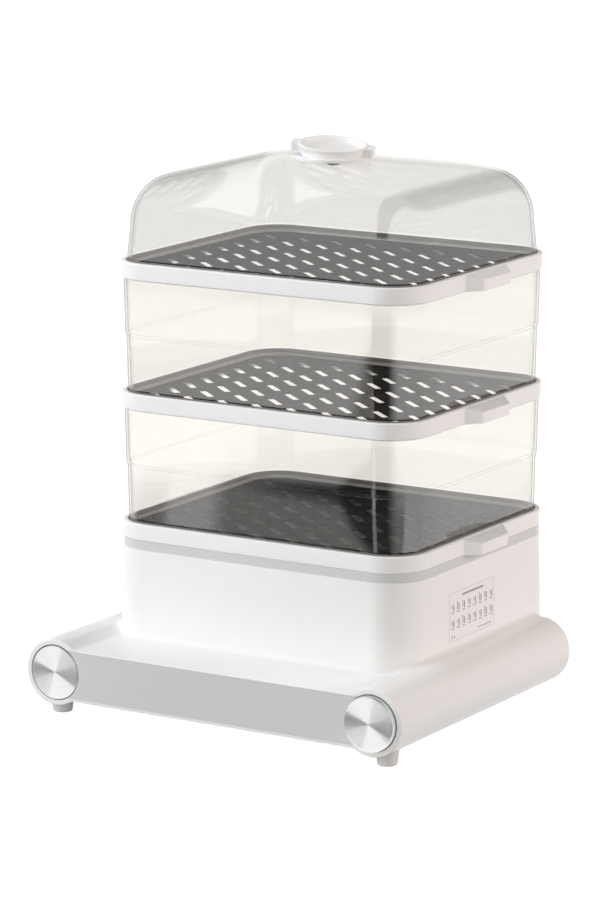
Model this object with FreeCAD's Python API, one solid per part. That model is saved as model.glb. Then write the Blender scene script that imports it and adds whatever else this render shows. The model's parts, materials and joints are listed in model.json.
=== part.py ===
"""Electric food steamer: a roll-sided base that holds the water and the heater, a drip tray, three
perforated trays with clear walls between them, and a domed lid. Every piece is written to parts/ as
its own STEP file. Lengths are in millimetres, +Z is up and -Y is the front."""
import FreeCAD, Part
import math
import os

V = FreeCAD.Vector
X_AXIS = V(1, 0, 0)
Y_AXIS = V(0, 1, 0)
Z_AXIS = V(0, 0, 1)

# ---- driving dimensions ---------------------------------------------------------------------------
# Stack of trays: plan outline, measured at the outside of a tray frame
TRAY_WIDTH = 280.0
TRAY_DEPTH = 243.0
TRAY_CORNER = 34.0
TRAY_COUNT = 3
TRAY_BOTTOM = 136.1          # underside of the lowest tray frame
TRAY_PITCH = 106.15          # from one tray frame to the next
FRAME_HEIGHT = 13.4
FRAME_RIM = 3.6              # width of the frame's upper rim
SEAT_RISE = 8.4              # from the frame's underside to the seat of the wall above
PLATE_THICKNESS = 2.0
PLATE_INSET = 7.0
PLATE_GAP = 0.3
PLATE_LEDGE_INSET = 10.0
SLOT_LENGTH = 34.0
SLOT_WIDTH = 8.0
SLOT_TURN = -41.0            # degrees from the X axis
SLOT_PITCH_X = 32.5
SLOT_PITCH_Y = 25.0
SLOT_COLUMNS = 8
SLOT_ROWS = 8
TAB_REACH = 11.0
TAB_ENDS = (-32.0, 35.0)     # along the frame's side, where the tab meets it
TAB_FRONT = (-20.0, 23.0)    # along its outer edge
TAB_ROUND = 4.5
TAB_OUTER_HEIGHT = 7.4
TAB_SCOOP = 3.2
TAB_SCOOP_ENDS = (-17.0, 20.0)
SKIRT_DEPTH = 3.0            # the frame reaches this far over the lip below it
SKIRT_WIDTH = 1.3
SKIRT_GAP = 0.4
LIP_WIDTH = 2.2

# Clear walls
WALL_THICKNESS = 2.0
WALL_INSET_FOOT = 4.8
WALL_INSET_BELOW_STEP = 3.8
WALL_INSET_ABOVE_STEP = 2.9
WALL_STEP_RISE = 50.6        # from the wall's foot to its step

# Lid
LID_THICKNESS = 2.2
LID_INSET_FOOT = 4.5
LID_DRAFT = 0.075            # inward lean per millimetre of height
LID_SHOULDER_Z = 390.0       # where the upright side ends and the rounded shoulder begins
LID_SHOULDER_REACH = 33.0    # half-axes of the shoulder's arc, inward and upward
LID_SHOULDER_RISE = 41.0
LID_SHOULDER_TURN = 1.32     # radians of the arc that are used, before the crowned top takes over
LID_CORNER_FOOT = 28.5
LID_CORNER_TOP = 14.0
LID_CROWN = 10.0             # rise of the top from the end of the shoulder to the middle
LID_CROWN_POWER = 3.0
LID_FLAT = 40.0              # square flat under the handle

# Handle
WASHER = 0.8
HANDLE_FLANGE_R = 31.5
HANDLE_FLANGE = 2.6
HANDLE_WAIST_R = 25.5
HANDLE_WAIST = 6.5
HANDLE_SCREW_R = 2.2
HANDLE_SCREW_REACH = 3.5     # how far the screw enters the handle
CUP_R = 28.8
CUP_RISE = 12.6              # from the lid's top to the middle of the cup's rim
CUP_DEPTH = 8.2
CUP_DRAFT = 2.2              # the cup is this much narrower at its foot
CUP_RIM = 2.6
CUP_TILT = 6.6               # degrees that the rim leans
CUP_LEAN_TO = -34.0          # plan direction that it leans to, in degrees from the X axis
LUG_REACH = 33.6
LUG_WIDTH = 17.0
LUG_TURN = 20.0

# Drip tray
DRIP_BOTTOM = 128.4          # top of the tower, where the drip tray's flange lies
DRIP_FLANGE = 2.5
DRIP_INSET = 0.5
BASIN_INSET = 9.8
BASIN_FLOOR = 119.0
BASIN_SKIN = 2.0
CHIMNEY_TOP = 133.0
CHIMNEY_R = 26.0             # the middle chimney's bore, and the four at the corners
CORNER_CHIMNEY_R = 9.0
CORNER_CHIMNEY_X = 84.0
CORNER_CHIMNEY_Y = 62.0

# Tower and base moulding
TOWER_TOP_WIDTH = 279.0
TOWER_TOP_DEPTH = 244.5
TOWER_FOOT_WIDTH = 283.0
TOWER_FOOT_DEPTH = 249.0
SHELL = 2.8                  # wall thickness of the base moulding
ROLL_R = 27.1
ROLL_X = 147.35
ROLL_Z = 36.0
ROLL_FRONT = -187.2
ROLL_REAR = 91.6
ROLL_REAR_ROUND = 7.0
ROLL_FRONT_ROUND = 1.0
SLAB_TOP = 56.2
SLAB_BOTTOM = 13.9
BLEND_R = 10.0               # hollow blend between slab and roll
TOWER_BLEND_R = 5.0
FLOOR_RIM = 4.5
COVER_THICKNESS = 2.2
COVER_HALF_WIDTH = 120.0
COVER_FRONT = -172.0
COVER_REAR = 114.0
COVER_CORNER = 14.0
COVER_GAP = 0.3
OPENING_MARGIN = 10.0        # from the cover's edge to the opening that it closes
SCREW_ROWS = (-148.0, -24.0, 92.0)
SCREW_R = 1.4
SCREW_HEAD_R = 3.0
POST_R = 4.6
POST_TOP = 34.0
VENT_ROWS = 9
VENT_PITCH = 9.0
VENT_FRONT = -54.0
VENT_LENGTH = 40.0
VENT_WIDTH = 3.2

# Discs in the roll ends
DISC_R = 22.2
POCKET_R = 23.0
POCKET_FLOOR = -181.0
WEB_BACK = -175.0            # rear of the wall behind each pocket
TIMER_FACE = -192.0
BUTTON_FACE = -187.4
BUTTON_THICKNESS = 3.0
CAP_SKIN = 1.2
SHAFT_R = 3.0
STEM_R = 4.0
RUNNING_GAP = 0.05
KNOB_WALL = 2.5
KNOB_HUB_R = 6.0
SHAFT_SOCKET = 3.5           # solid plastic in front of the shaft's end
CASE_R = 20.0                # clockwork case behind the timer
CASE_DEPTH = 26.0
BELL_R = 14.0
BELL_DEPTH = 8.0
SWITCH_WIDTH = 28.0
SWITCH_HEIGHT = 22.0
SWITCH_DEPTH = 30.0
TAB_WIDTH = 4.8              # flat electrical tabs
TAB_THICKNESS = 0.8

# Front panel
PANEL_LOW = 16.3
PANEL_HIGH = 55.4
PANEL_THICKNESS = 2.5
PANEL_GAP = 0.15
PEG_R = 2.0
PEG_PLACES = (-90.0, 0.0, 90.0)

# Water reservoir and heater
BOWL_FLANGE_Z = 126.0
BOWL_INSET = 7.0
BOWL_SKIN = 2.2
BOWL_FLOOR = 76.0
HEATER_R = 49.0
GASKET_WIDTH = 7.5
GASKET_THICKNESS = 1.4
PAN_DEPTH = 10.0
PAN_SKIN = 1.0
CLAMP_THICKNESS = 2.0
CLAMP_REACH = 13.0           # from the heater's opening to the clamp's screws
CLAMP_TOP = BOWL_FLOOR - GASKET_THICKNESS - PAN_SKIN
PAN_UNDERSIDE = CLAMP_TOP - PAN_DEPTH
COIL_R = 32.0
COIL_TUBE_R = 3.4
COIL_GAP = 20.0              # degrees from the X axis to each end of the open ring
GUIDE_TOP = 113.0
ARCH_R = 8.0

# Feet and rear gland
FOOT_R = 9.0
FOOT_X_FRONT = 152.0
FOOT_Y_FRONT = -170.0
FOOT_X_REAR = 100.0
FOOT_Y_REAR = 88.0
GLAND_Z = 40.0
GLAND_X = 60.0
GLAND_BORE_R = 3.6
GLAND_NECK_R = 6.0
GLAND_FLANGE_R = 9.5
GLAND_REAR = 131.5

# The model's origin lies on the ground below the middle of its outer box
DEPTH_SHIFT = -(TIMER_FACE + GLAND_REAR) / 2


# ---- shapes ---------------------------------------------------------------------------------------
def save(name, shape):
    """Write one piece, moved from the tower's own axis to the model's origin."""
    shape = shape.copy()
    shape.translate(V(0, DEPTH_SHIFT, 0))
    if not shape.isValid():
        raise RuntimeError(name + " is not valid")
    print(name, len(shape.Solids), round(shape.Volume / 1000, 2))
    shape.exportStep("parts/" + name + ".step")


def rounded_wire(width, depth, radius, z):
    """Rectangle with round corners, centred on the tower's axis."""
    hx = width / 2
    hy = depth / 2
    k = radius * (1 - math.sqrt(0.5))
    edges = []
    for sx, sy in ((1, 1), (-1, 1), (-1, -1), (1, -1)):
        along_x = V(sx * (hx - radius), sy * hy, z)
        middle = V(sx * (hx - k), sy * (hy - k), z)
        along_y = V(sx * hx, sy * (hy - radius), z)
        ends = (along_y, along_x) if sx == sy else (along_x, along_y)
        if edges:
            edges.append(Part.LineSegment(edges[-1].EndPoint, ends[0]))
        edges.append(Part.Arc(ends[0], middle, ends[1]))
    edges.append(Part.LineSegment(edges[-1].EndPoint, edges[0].StartPoint))
    return Part.Wire([edge.toShape() for edge in edges])


def tray_wire(inset, z, corner=TRAY_CORNER):
    """The tray outline drawn in by an inset."""
    return rounded_wire(TRAY_WIDTH - 2 * inset, TRAY_DEPTH - 2 * inset, max(corner - inset, 6.0), z)


def prism(wire, height):
    return Part.Face(wire).extrude(V(0, 0, height))


def tray_prism(inset, low, high):
    return prism(tray_wire(inset, low), high - low)


def tray_taper(inset_low, low, inset_high, high):
    """A prism of the tray outline whose inset changes evenly with height."""
    return Part.makeLoft([tray_wire(inset_low, low), tray_wire(inset_high, high)], True, True)


def box(x_low, x_high, y_low, y_high, z_low, z_high):
    return Part.makeBox(x_high - x_low, y_high - y_low, z_high - z_low, V(x_low, y_low, z_low))


def rod_y(radius, x, z, y_low, y_high):
    return Part.makeCylinder(radius, y_high - y_low, V(x, y_low, z), Y_AXIS)


def rod_z(radius, x, y, z_low, z_high):
    return Part.makeCylinder(radius, z_high - z_low, V(x, y, z_low), Z_AXIS)


def tube_z(outer, inner, x, y, z_low, z_high):
    return rod_z(outer, x, y, z_low, z_high).cut(rod_z(inner, x, y, z_low, z_high))


def turned(points):
    """A solid of revolution about the tower's axis from its closed outline of (radius, height)."""
    outline = [V(r, 0, z) for r, z in points]
    face = Part.Face(Part.makePolygon(outline + outline[:1]))
    return face.revolve(V(0, 0, 0), Z_AXIS, 360)


def edges_where(shape, test):
    return [edge for edge in shape.Edges if test(edge)]


def lies_flat(edge, z):
    bounds = edge.BoundBox
    return abs(bounds.ZMin - z) < 1e-3 and abs(bounds.ZMax - z) < 1e-3


def middle_of(edge):
    return edge.valueAt((edge.FirstParameter + edge.LastParameter) / 2)


# ---- base moulding --------------------------------------------------------------------------------
def blend_points(flat_z, side):
    """Points of the hollow arc between the slab's flat face and the right roll: on the flat, in the
    middle and on the roll. side is +1 for the top face and -1 for the underside."""
    centre_z = flat_z + side * BLEND_R
    reach = ROLL_R + BLEND_R
    centre_x = ROLL_X - math.sqrt(reach ** 2 - (centre_z - ROLL_Z) ** 2)
    centre = V(centre_x, 0, centre_z)
    roll = V(ROLL_X, 0, ROLL_Z)
    to_roll = (roll - centre).normalize()
    to_flat = V(0, 0, -side)
    between = (to_roll + to_flat).normalize()
    return centre + to_flat * BLEND_R, centre + between * BLEND_R, centre + to_roll * BLEND_R


def mirrored(point):
    return V(-point.x, point.y, point.z)


def roll_and_slab():
    """Two rolls joined by a slab, as one section run from front to back, with round rear edges."""
    top_flat, top_middle, top_roll = blend_points(SLAB_TOP, 1)
    low_flat, low_middle, low_roll = blend_points(SLAB_BOTTOM, -1)
    far = V(ROLL_X + ROLL_R, 0, ROLL_Z)
    curves = [
        Part.LineSegment(mirrored(top_flat), top_flat),
        Part.Arc(top_flat, top_middle, top_roll),
        Part.Arc(top_roll, far, low_roll),
        Part.Arc(low_roll, low_middle, low_flat),
        Part.LineSegment(low_flat, mirrored(low_flat)),
        Part.Arc(mirrored(low_flat), mirrored(low_middle), mirrored(low_roll)),
        Part.Arc(mirrored(low_roll), mirrored(far), mirrored(top_roll)),
        Part.Arc(mirrored(top_roll), mirrored(top_middle), mirrored(top_flat)),
    ]
    section = Part.Face(Part.Wire([curve.toShape() for curve in curves]))
    section.translate(V(0, ROLL_FRONT, 0))
    body = section.extrude(V(0, ROLL_REAR - ROLL_FRONT, 0))
    rear = edges_where(body, lambda e: e.BoundBox.YMin > ROLL_REAR - 1e-3)
    body = body.makeFillet(ROLL_REAR_ROUND, rear)
    front = edges_where(body, lambda e: e.BoundBox.YMax < ROLL_FRONT + 1e-3)
    return body.makeFillet(ROLL_FRONT_ROUND, front)


def tower(inset, low, high):
    """The tower's tapered block, drawn in by an inset, between two heights of its full taper."""
    def outline(z):
        share = (z - SLAB_BOTTOM) / (DRIP_BOTTOM - SLAB_BOTTOM)
        width = TOWER_FOOT_WIDTH + (TOWER_TOP_WIDTH - TOWER_FOOT_WIDTH) * share - 2 * inset
        depth = TOWER_FOOT_DEPTH + (TOWER_TOP_DEPTH - TOWER_FOOT_DEPTH) * share - 2 * inset
        return rounded_wire(width, depth, TRAY_CORNER - inset, z)
    return Part.makeLoft([outline(low), outline(high)], True, True)


def disc_sides():
    """The two roll ends: the timer on the right, the power button on the left."""
    return (ROLL_X, -ROLL_X)


def cover_outline(margin, low, high):
    """Plan of the base cover, drawn in by a margin, as a block between two heights."""
    half = COVER_HALF_WIDTH - margin
    front = COVER_FRONT + margin
    rear = COVER_REAR - margin
    block = box(-half, half, front, rear, low, high)
    upright = edges_where(block, lambda e: e.BoundBox.ZLength > 1e-3)
    return block.makeFillet(COVER_CORNER - margin, upright)


def screw_places():
    x = COVER_HALF_WIDTH - OPENING_MARGIN / 2
    return [(side * x, y) for side in (-1, 1) for y in SCREW_ROWS]


def make_base_housing():
    tower_block = tower(0, SLAB_BOTTOM, DRIP_BOTTOM)
    outer = tower_block.fuse(roll_and_slab()).removeSplitter()

    def on_joint(edge):
        spot = middle_of(edge)
        low_enough = SLAB_TOP - 1 < spot.z < ROLL_Z + ROLL_R + 1
        return low_enough and spot.y < ROLL_REAR - 8 and tower_block.Shells[0].distToShape(
            Part.Vertex(spot))[0] < 1e-3 and edge.BoundBox.ZLength < 8
    outer = outer.makeFillet(TOWER_BLEND_R, edges_where(outer, on_joint))

    inside = tower(SHELL, SLAB_BOTTOM + FLOOR_RIM, DRIP_BOTTOM + 1)
    slab = box(-128, 128, WEB_BACK, ROLL_REAR - SHELL - ROLL_REAR_ROUND,
               SLAB_BOTTOM + FLOOR_RIM, SLAB_TOP - SHELL)
    inside = inside.fuse(slab)
    for x in disc_sides():
        inside = inside.fuse(rod_y(ROLL_R - SHELL, x, ROLL_Z, WEB_BACK, ROLL_REAR - ROLL_REAR_ROUND))
    housing = outer.cut(inside)

    # opening for the cover, with a rebate that it lies in, and screw posts on the ledge beside it
    opening = cover_outline(OPENING_MARGIN, SLAB_BOTTOM - 1, SLAB_BOTTOM + FLOOR_RIM + 1)
    rebate = cover_outline(-COVER_GAP, SLAB_BOTTOM - 1, SLAB_BOTTOM + COVER_THICKNESS)
    housing = housing.cut(opening.fuse(rebate))
    for x, y in screw_places():
        post = rod_z(POST_R, x, y, SLAB_BOTTOM + COVER_THICKNESS, POST_TOP)
        hole = rod_z(SCREW_R, x, y, SLAB_BOTTOM + COVER_THICKNESS - 1, POST_TOP - 2)
        housing = housing.fuse(post).cut(hole)

    # rebate for the reservoir's flange
    flange_seat = tower(1.6, BOWL_FLANGE_Z, DRIP_BOTTOM + 1)
    housing = housing.cut(flange_seat)

    # pockets for the two discs, and the shallow recess of the front panel between them
    for x in disc_sides():
        housing = housing.cut(rod_y(POCKET_R, x, ROLL_Z, ROLL_FRONT - 1, POCKET_FLOOR))
    housing = housing.cut(rod_y(SHAFT_R + 2.0, ROLL_X, ROLL_Z, POCKET_FLOOR - 1, WEB_BACK + 1))
    housing = housing.cut(rod_y(STEM_R + RUNNING_GAP, -ROLL_X, ROLL_Z, POCKET_FLOOR - 1, WEB_BACK + 1))
    housing = housing.cut(panel_block(0.0, ROLL_FRONT - 1))
    for x in PEG_PLACES:
        housing = housing.cut(rod_y(PEG_R + 0.1, x, ROLL_Z, ROLL_FRONT, WEB_BACK + 1))

    # hole for the cord gland
    return housing.cut(rod_y(GLAND_NECK_R + 0.2, GLAND_X, GLAND_Z, COVER_REAR - 4, GLAND_REAR))


def panel_block(gap, front):
    """The space of the front panel: a bar whose ends follow the two discs' pockets."""
    block = box(-ROLL_X, ROLL_X, front, ROLL_FRONT + PANEL_THICKNESS, PANEL_LOW + gap, PANEL_HIGH - gap)
    for x in disc_sides():
        block = block.cut(rod_y(POCKET_R, x, ROLL_Z, front - 1, ROLL_REAR))
    return block


def make_front_panel():
    panel = panel_block(PANEL_GAP, ROLL_FRONT)
    for x in PEG_PLACES:
        panel = panel.fuse(rod_y(PEG_R, x, ROLL_Z, ROLL_FRONT + PANEL_THICKNESS - 1, WEB_BACK))
    return panel.removeSplitter()


def make_base_cover():
    low = SLAB_BOTTOM
    high = SLAB_BOTTOM + COVER_THICKNESS
    cover = cover_outline(0.0, low, high)
    stiffeners = []
    for x in (-COVER_HALF_WIDTH / 2, 0.0, COVER_HALF_WIDTH / 2):
        stiffeners.append(box(x - 1, x + 1, COVER_FRONT + 20, COVER_REAR - 20, high - 0.5, high + 4))
    cover = cover.multiFuse(stiffeners)
    cuts = []
    for x, y in screw_places():
        cuts.append(rod_z(SCREW_R + 0.3, x, y, low - 1, high + 1))
        cuts.append(rod_z(SCREW_HEAD_R + 0.2, x, y, low - 1, low + 1.1))
    for row in range(VENT_ROWS):
        front = VENT_FRONT + VENT_PITCH * row - VENT_WIDTH / 2
        for left in (-VENT_LENGTH - 10, 10):
            slot = box(left, left + VENT_LENGTH, front, front + VENT_WIDTH, low - 1, high + 1)
            cuts.append(slot.makeFillet(1.5, edges_where(slot, lambda e: e.BoundBox.ZLength > 1e-3)))
    return cover.cut(cuts).removeSplitter()


def make_cover_screws():
    screws = []
    for x, y in screw_places():
        head = rod_z(SCREW_HEAD_R, x, y, SLAB_BOTTOM + 0.1, SLAB_BOTTOM + 1.1)
        slot = box(x - 2.2, x + 2.2, y - 0.4, y + 0.4, SLAB_BOTTOM - 1, SLAB_BOTTOM + 0.7)
        shank = rod_z(SCREW_R, x, y, SLAB_BOTTOM + 1.1, POST_TOP - 6)
        screws.append(head.cut(slot).fuse(shank))
    return Part.makeCompound(screws)


def foot_block(x, y, height):
    foot = Part.makeCone(FOOT_R - 1.2, FOOT_R + 1.0, height, V(x, y, 0), Z_AXIS)
    return foot.makeFillet(1.2, edges_where(foot, lambda e: lies_flat(e, 0)))


def make_front_foot(side):
    """A tapered rubber foot, hollowed on top to fit the roll it is fixed to."""
    foot = foot_block(side * FOOT_X_FRONT, FOOT_Y_FRONT, SLAB_BOTTOM + 2.1)
    return foot.cut(rod_y(ROLL_R, side * ROLL_X, ROLL_Z, ROLL_FRONT, ROLL_REAR))


def make_rear_foot(side):
    return foot_block(side * FOOT_X_REAR, FOOT_Y_REAR, SLAB_BOTTOM)


# ---- controls -------------------------------------------------------------------------------------
def make_timer_cap():
    """Spun aluminium cup that covers the knob's front and side."""
    cap = rod_y(DISC_R, ROLL_X, ROLL_Z, TIMER_FACE, POCKET_FLOOR - 2.5)
    rim = edges_where(cap, lambda e: e.BoundBox.YMax < TIMER_FACE + 1e-3)
    cap = cap.makeChamfer(0.5, rim)
    return cap.cut(rod_y(DISC_R - CAP_SKIN, ROLL_X, ROLL_Z, TIMER_FACE + CAP_SKIN, POCKET_FLOOR))


def make_timer_knob():
    """Plastic core of the knob: a ribbed cup with a hub that grips the shaft."""
    front = TIMER_FACE + CAP_SKIN
    back = POCKET_FLOOR - 0.6
    core = rod_y(DISC_R - CAP_SKIN, ROLL_X, ROLL_Z, front, back)
    hollow = rod_y(DISC_R - CAP_SKIN - KNOB_WALL, ROLL_X, ROLL_Z, front + KNOB_WALL, back + 1)
    hub = rod_y(KNOB_HUB_R, ROLL_X, ROLL_Z, front + 2.0, back)
    ribs = []
    for turn in range(6):
        rib = box(KNOB_HUB_R - 1, DISC_R - CAP_SKIN - 1, front + 2.0, back - 2.0, -0.8, 0.8)
        rib.translate(V(ROLL_X, 0, ROLL_Z))
        rib.rotate(V(ROLL_X, 0, ROLL_Z), Y_AXIS, 60.0 * turn)
        ribs.append(rib)
    core = core.cut(hollow).fuse(hub).multiFuse(ribs).removeSplitter()
    return core.cut(rod_y(SHAFT_R, ROLL_X, ROLL_Z, front + SHAFT_SOCKET, back + 1))


def make_timer_shaft():
    return rod_y(SHAFT_R, ROLL_X, ROLL_Z, TIMER_FACE + CAP_SKIN + SHAFT_SOCKET, WEB_BACK + 12.0)


def make_timer_unit():
    """Clockwork case inside the right roll: a nose that fills the web's hole, a round case and a bell."""
    case_back = WEB_BACK + CASE_DEPTH
    bell_back = case_back - 1 + BELL_DEPTH
    nose = rod_y(SHAFT_R + 1.8, ROLL_X, ROLL_Z, POCKET_FLOOR + 0.2, WEB_BACK + 1)
    case = rod_y(CASE_R, ROLL_X, ROLL_Z, WEB_BACK, case_back)
    case = case.makeFillet(2.0, edges_where(case, lambda e: e.BoundBox.YMin > case_back - 0.1))
    bell = rod_y(BELL_R, ROLL_X, ROLL_Z, case_back - 1, bell_back)
    bell = bell.makeFillet(4.0, edges_where(bell, lambda e: e.BoundBox.YMin > bell_back - 0.1))
    tabs = [electric_tab(ROLL_X + x, ROLL_Z - 15.0, case_back - 1) for x in (-7.0, 7.0)]
    unit = nose.fuse(case).fuse(bell).multiFuse(tabs).removeSplitter()
    return unit.cut(rod_y(SHAFT_R + RUNNING_GAP, ROLL_X, ROLL_Z, POCKET_FLOOR - 1, WEB_BACK + 14.0))


def electric_tab(x, z, front):
    half = TAB_WIDTH / 2
    return box(x - half, x + half, front, front + 9, z - TAB_THICKNESS / 2, z + TAB_THICKNESS / 2)


def make_button_cap():
    cap = rod_y(DISC_R, -ROLL_X, ROLL_Z, BUTTON_FACE, BUTTON_FACE + CAP_SKIN)
    rim = edges_where(cap, lambda e: e.BoundBox.YMax < BUTTON_FACE + 1e-3)
    return cap.makeChamfer(0.5, rim)


def make_power_button():
    """Plastic carrier of the button: a thin disc with the stem that works the switch."""
    disc = rod_y(DISC_R, -ROLL_X, ROLL_Z, BUTTON_FACE + CAP_SKIN, BUTTON_FACE + BUTTON_THICKNESS)
    stem = rod_y(STEM_R, -ROLL_X, ROLL_Z, BUTTON_FACE + BUTTON_THICKNESS - 0.5, WEB_BACK + 6.0)
    return disc.fuse(stem).removeSplitter()


def make_power_switch():
    """Latching switch inside the left roll, with the well that the button's stem enters."""
    left = -ROLL_X - SWITCH_WIDTH / 2
    low = ROLL_Z - SWITCH_HEIGHT / 2
    back = WEB_BACK + SWITCH_DEPTH
    case = box(left, left + SWITCH_WIDTH, WEB_BACK, back, low, low + SWITCH_HEIGHT)
    case = case.makeFillet(1.5, edges_where(case, lambda e: e.BoundBox.YLength > 1))
    well = rod_y(STEM_R + 0.4, -ROLL_X, ROLL_Z, WEB_BACK - 1, WEB_BACK + 12)
    tabs = [electric_tab(x - ROLL_X, ROLL_Z + z, back - 1) for x in (-8.0, 8.0) for z in (-5.0, 5.0)]
    return case.multiFuse(tabs).cut(well).removeSplitter()


# ---- water and heat -------------------------------------------------------------------------------
def make_reservoir():
    """Water bowl hung by its flange in the top of the tower, with a round opening for the heater."""
    rim = tray_prism(2.6, BOWL_FLANGE_Z, DRIP_BOTTOM)
    wall = tray_prism(BOWL_INSET, BOWL_FLOOR, DRIP_BOTTOM)
    wall = wall.makeFillet(8.0, edges_where(wall, lambda e: lies_flat(e, BOWL_FLOOR)))
    inner = tray_prism(BOWL_INSET + BOWL_SKIN, BOWL_FLOOR + BOWL_SKIN, DRIP_BOTTOM + 1)
    inner = inner.makeFillet(6.0, edges_where(inner, lambda e: lies_flat(e, BOWL_FLOOR + BOWL_SKIN)))
    bowl = rim.fuse(wall).cut(inner).removeSplitter()
    for turn in clamp_turns():
        x, y = clamp_place(turn)
        bowl = bowl.fuse(rod_z(4.0, x, y, CLAMP_TOP, BOWL_FLOOR + 0.5))
    bowl = bowl.cut(rod_z(HEATER_R, 0, 0, BOWL_FLOOR - 1, BOWL_FLOOR + 5))
    for turn in clamp_turns():
        x, y = clamp_place(turn)
        bowl = bowl.cut(rod_z(SCREW_R, x, y, BOWL_FLOOR - 5, BOWL_FLOOR + 1.0))
    return bowl.removeSplitter()


def clamp_turns():
    return [45.0 + 90.0 * k for k in range(4)]


def clamp_place(turn):
    reach = HEATER_R + CLAMP_REACH
    return reach * math.cos(math.radians(turn)), reach * math.sin(math.radians(turn))


def make_heater_gasket():
    return tube_z(HEATER_R + GASKET_WIDTH, HEATER_R, 0, 0, BOWL_FLOOR - GASKET_THICKNESS, BOWL_FLOOR)


def make_heater_pan():
    """Stainless dish that closes the bowl's opening from below."""
    top = BOWL_FLOOR - GASKET_THICKNESS
    skin = PAN_SKIN
    outer = HEATER_R + GASKET_WIDTH
    inner = HEATER_R - 4.0
    floor = top - PAN_DEPTH
    underside = [(0, floor - skin), (inner, floor - skin), (inner + skin, floor), (inner + skin, top - skin)]
    return turned(underside + [(outer, top - skin), (outer, top), (inner, top), (inner, floor), (0, floor)])


def make_heater_clamp():
    """Steel ring with four ears that presses the pan and gasket up against the bowl."""
    top = CLAMP_TOP
    low = top - CLAMP_THICKNESS
    ring = tube_z(HEATER_R + 8.0, HEATER_R - 2.5, 0, 0, low, top)
    for turn in clamp_turns():
        x, y = clamp_place(turn)
        ring = ring.fuse(rod_z(5.5, x, y, low, top))
        arm = box(HEATER_R + 2, HEATER_R + CLAMP_REACH, -4.5, 4.5, low, top)
        arm.rotate(V(0, 0, 0), Z_AXIS, turn)
        ring = ring.fuse(arm)
    for turn in clamp_turns():
        x, y = clamp_place(turn)
        ring = ring.cut(rod_z(SCREW_R + 0.3, x, y, low - 1, top + 1))
    return ring.removeSplitter()


def make_clamp_screws():
    screws = []
    seat = CLAMP_TOP - CLAMP_THICKNESS
    for turn in clamp_turns():
        x, y = clamp_place(turn)
        head = rod_z(SCREW_HEAD_R, x, y, seat - 2.0, seat)
        shank = rod_z(SCREW_R, x, y, seat, BOWL_FLOOR + 0.5)
        screws.append(head.fuse(shank))
    return Part.makeCompound(screws)


def make_heating_element():
    """Tubular element bent to an open ring under the pan, its two ends turned down to the terminals."""
    z = PAN_UNDERSIDE - COIL_TUBE_R
    section = Part.Face(Part.Wire([Part.Circle(V(COIL_R, 0, z), Y_AXIS, COIL_TUBE_R).toShape()]))
    tube = section.revolve(V(0, 0, 0), Z_AXIS, 360 - 2 * COIL_GAP)
    tube.rotate(V(0, 0, 0), Z_AXIS, COIL_GAP)
    for turn in (COIL_GAP, 360 - COIL_GAP):
        x = COIL_R * math.cos(math.radians(turn))
        y = COIL_R * math.sin(math.radians(turn))
        tube = tube.fuse(Part.makeSphere(COIL_TUBE_R, V(x, y, z)))
        tube = tube.fuse(rod_z(COIL_TUBE_R - 0.2, x, y, z - 14.0, z))
        tube = tube.fuse(rod_z(1.5, x, y, z - 22.0, z - 13.0))
    return tube


def make_thermostat():
    """Boil-dry cut-out: a round can held against the middle of the pan."""
    top = PAN_UNDERSIDE
    can = rod_z(8.0, 0, 0, top - 6.0, top)
    flange = rod_z(10.5, 0, 0, top - 1.2, top)
    tabs = box(-16.0, 16.0, -2.4, 2.4, top - 7.0, top - 6.2)
    stem = rod_z(3.0, 0, 0, top - 8.0, top - 5.0)
    return can.fuse(flange).fuse(stem).fuse(tabs).removeSplitter()


def make_thermal_fuse():
    """Fuse in its sleeve, strapped across the pan beside the cut-out."""
    z = PAN_UNDERSIDE - 2.4
    body = rod_y(2.4, -16.0, z, -7.0, 7.0)
    leads = rod_y(0.6, -16.0, z, -16.0, 16.0)
    return body.fuse(leads)


def make_steam_guide():
    """Loose collar round the heater that keeps a small pool boiling; water enters by its low arches."""
    low = BOWL_FLOOR + BOWL_SKIN
    foot = HEATER_R + 9.0
    mouth = HEATER_R + 5.0
    outside = [(foot + BOWL_SKIN, low), (mouth + BOWL_SKIN, GUIDE_TOP)]
    collar = turned([(foot, low)] + outside + [(mouth, GUIDE_TOP)])
    arches = []
    for turn in range(6):
        arch = box(foot - 18, foot + 12, -ARCH_R, ARCH_R, low - 1, low + 5)
        arch = arch.fuse(Part.makeCylinder(ARCH_R, 30, V(foot - 18, 0, low + 5), X_AXIS))
        arch.rotate(V(0, 0, 0), Z_AXIS, 60.0 * turn)
        arches.append(arch)
    return collar.cut(arches)


def make_terminal_block():
    """Three-way connector on the inside of the cover, near the cord's entry."""
    low = SLAB_BOTTOM + COVER_THICKNESS
    block = box(8, 50, 82, 98, low, low + 12)
    wells = []
    for x in (15.0, 29.0, 43.0):
        wells.append(rod_z(2.6, x, 90, low + 6, low + 13))
        wells.append(rod_y(1.8, x, low + 4, 81, 99))
    return block.cut(wells)


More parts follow.
